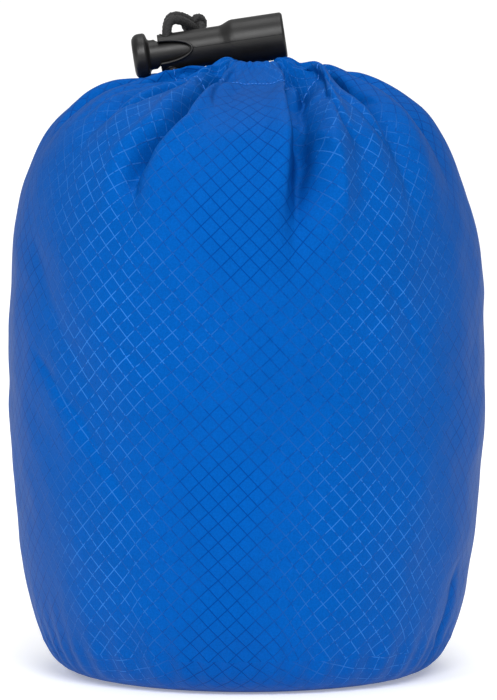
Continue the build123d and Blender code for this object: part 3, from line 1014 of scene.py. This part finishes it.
def strip(name, azimuths, downs, node):
    """A thin closed band of cloth inside the wall: a ring where azimuths go all the way round."""
    wrap = azimuths[-1] - azimuths[0] > 300
    across = len(azimuths)
    depths = (SEAM_DEPTH, SEAM_DEPTH + SEAM_THICK)
    points = [on_wall(a, d, -depth) for depth in depths for d in downs for a in azimuths]
    half = len(downs) * across
    faces = []
    for i in range(len(downs) - 1):
        for k in range(across if wrap else across - 1):
            m = (k + 1) % across
            quad = (i * across + k, i * across + m, (i + 1) * across + m, (i + 1) * across + k)
            faces.append(quad)
            faces.append(tuple(half + v for v in reversed(quad)))
    for k in range(across if wrap else across - 1):
        m = (k + 1) % across
        last = (len(downs) - 1) * across
        faces.append((m, k, half + k, half + m))
        faces.append((last + k, last + m, half + last + m, half + last + k))
    if not wrap:
        for i in range(len(downs) - 1):
            a, b = i * across, (i + 1) * across
            faces.append((a, b, half + b, half + a))
            faces.append((b + across - 1, a + across - 1, half + a + across - 1, half + b + across - 1))
    piece = mesh_piece(name, points, faces, "sack", INSIDE)
    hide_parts(node)


round_azimuths = np.arange(0, 360, 3.0)
foot = down_fine[0]
goods()
strip("seam_of_base", round_azimuths, np.linspace(foot - 0.4, foot - 8, 6), "base_seam")
strip("seam_of_side", SEAM_AZ + np.linspace(-3.8, 3.8, 5), np.linspace(foot - 9, 36, 40), "side_seam")
ring_line = [on_wall(a, foot - 4, -INNER_THREAD_DEPTH) for a in np.arange(0, 357, 2.0)]
thread("base_thread", [ring_line], "base_stitching")
side_rows = np.linspace(foot - 10, 38, 60)
side_lines = [[on_wall(SEAM_AZ + gap, d, -INNER_THREAD_DEPTH) for d in side_rows] for gap in (-2.6, 2.6)]
thread("side_thread", side_lines, "side_stitching")


SLOT_HALF_WIDTH, SLOT_HALF_HEIGHT = 3.3, 1.5
SLOT_INSET = 0.35  # the slot's middle line lies this much inside the hem's radius
WHIP_R, WHIP_TURNS = 0.28, 44


def buttonhole():
    """Whipped edge of the cord's exit: thread wound round and round the slot."""
    out = np.array((math.cos(EXIT_AZ), math.sin(EXIT_AZ), 0))
    side = np.array((-math.sin(EXIT_AZ), math.cos(EXIT_AZ), 0))
    up = np.array((0, 0, 1.0))
    middle = out * (CHANNEL_R - SLOT_INSET) + up * EXIT_Z
    line = []
    for w in np.linspace(0, 2 * math.pi, 700):
        rim = middle + side * SLOT_HALF_WIDTH * math.cos(w) + up * SLOT_HALF_HEIGHT * math.sin(w)
        away = side * math.cos(w) + up * math.sin(w)
        line.append(rim + WHIP_R * (math.cos(WHIP_TURNS * w) * away + math.sin(WHIP_TURNS * w) * out))
    thread("exit_whipping", [line], "exit_buttonhole")


buttonhole()


# ---------------------- cord lock
# Lengths in mm. "Along" runs from the cord hole's middle towards the barrel's closed end.
BARREL_R = 4.75
HEAD_STEP = 1.1  # how much the closed end is wider
SPRING_START, SPRING_LENGTH, SPRING_TURNS = 9.85, 10.8, 7
SPRING_R, WIRE_R = 2.7, 0.25
SCOOP_START, SCOOP_LENGTH, SCOOP_HALF = -2.3, 8.4, 2.9
HOLE_HALF_LENGTH, HOLE_HALF_WIDTH = 1.5, 2.75
PARTING_START, PARTING_END = 6.3, 28.9
BEAD_R, PARTING_R, HOLE_RIM_R = 0.34, 0.13, 0.22


def lock_point(along, sideways, up):
    return np.array(LOCK_HOLE + LOCK_X * along + LOCK_SIDE * sideways + LOCK_UP * up)


def spring():
    """Compression spring between the stem's end and the bottom of the bore."""
    line = []
    for t in np.linspace(0, 1, 260):
        w = 2 * math.pi * SPRING_TURNS * t
        along = SPRING_START + SPRING_LENGTH * t
        line.append(lock_point(along, SPRING_R * math.cos(w), SPRING_R * math.sin(w)))
    verts, faces = [], []
    tube(np.array(line), WIRE_R, 8, verts, faces)
    piece = mesh_piece("spring_coil", verts, faces, "cord_lock", STEEL)
    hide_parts("lock_spring")
    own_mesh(piece)


def barrel_radius(along):
    return BARREL_R + HEAD_STEP * float(smooth_step(np.array(along), 13.0, 17.0))


def moulding_details():
    """Bead round each scooped flank, parting line along both flanks, rims of the cord holes."""
    verts, faces = [], []
    for flank in (-1, 1):
        lip = []
        for t in np.linspace(-1, 1, 48):
            up = SCOOP_HALF * math.sin(t * math.pi / 2)
            along = SCOOP_START + SCOOP_LENGTH * math.sqrt(max(1 - (up / SCOOP_HALF) ** 2, 0))
            lip.append(lock_point(along, flank * math.sqrt(BARREL_R**2 - up**2), up))
        tube(np.array(lip), BEAD_R, 8, verts, faces)
        ridge = []
        for along in np.linspace(PARTING_START, PARTING_END, 80):
            ridge.append(lock_point(along, flank * barrel_radius(along), 0.0))
        tube(np.array(ridge), PARTING_R, 6, verts, faces)
    for end in (-1, 1):
        rim = []
        for w in np.linspace(0, 2 * math.pi, 40):
            sideways = HOLE_HALF_WIDTH * math.sin(w)
            height = end * math.sqrt(BARREL_R**2 - sideways**2)
            rim.append(lock_point(HOLE_HALF_LENGTH * math.cos(w), sideways, height))
        tube(np.array(rim), HOLE_RIM_R, 6, verts, faces)
    mesh_piece("barrel_details", verts, faces, "cord_lock", PLASTIC)


spring()
moulding_details()


# ---------------------- pieces kept from the frame
for kept_node in ("lock_barrel", "lock_plunger"):
    for material_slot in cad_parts[kept_node].material_slots:
        material_slot.material = PLASTIC


# ---------------------- stage and light
FLOOR_HALF = 6.0  # m


def plain_stage():
    """White floor."""
    n = Nodes("stage_white")
    n.shader.inputs["Base Color"].default_value = (0.9, 0.9, 0.9, 1)
    n.shader.inputs["Emission Color"].default_value = (1, 1, 1, 1)
    n.shader.inputs["Emission Strength"].default_value = 0.30
    n.shader.inputs["Roughness"].default_value = 0.7
    mesh = bpy.data.meshes.new("floor")
    corners = [(x * FLOOR_HALF, y * FLOOR_HALF, 0) for x, y in ((-1, -1), (1, -1), (1, 1), (-1, 1))]
    mesh.from_pydata(corners, [], [(0, 1, 2, 3)])
    mesh.materials.append(n.material)
    new_object("floor", mesh)


def area_light(name, place, aim, size, power):
    data = bpy.data.lights.new(name, "AREA")
    data.shape = "RECTANGLE"
    data.size, data.size_y = size
    data.energy = power
    lamp = new_object(name, data)
    lamp.location = place
    lamp.rotation_euler = (Vector(aim) - Vector(place)).to_track_quat("-Z", "Y").to_euler()


plain_stage()
world = bpy.data.worlds.new("studio")
world.use_nodes = True
background = world.node_tree.nodes["Background"]
background.inputs["Color"].default_value = (1, 1, 1, 1)
background.inputs["Strength"].default_value = 0.45
bpy.context.scene.world = world
# Places and sizes of the lights in metres, power in watts
area_light("key_left", (-0.7, -1.2, 0.8), (0, 0, 0.08), (0.5, 0.5), 7)
area_light("top", (0.0, 0.1, 1.1), (0, 0, 0.1), (0.6, 0.6), 3)
sun = bpy.data.lights.new("front_sun", "SUN")
sun.energy = 2.3
sun.angle = math.radians(30)
sun_lamp = new_object("front_sun", sun)
sun_lamp.rotation_euler = Vector((-0.10, 0.80, -0.60)).to_track_quat("-Z", "Y").to_euler()
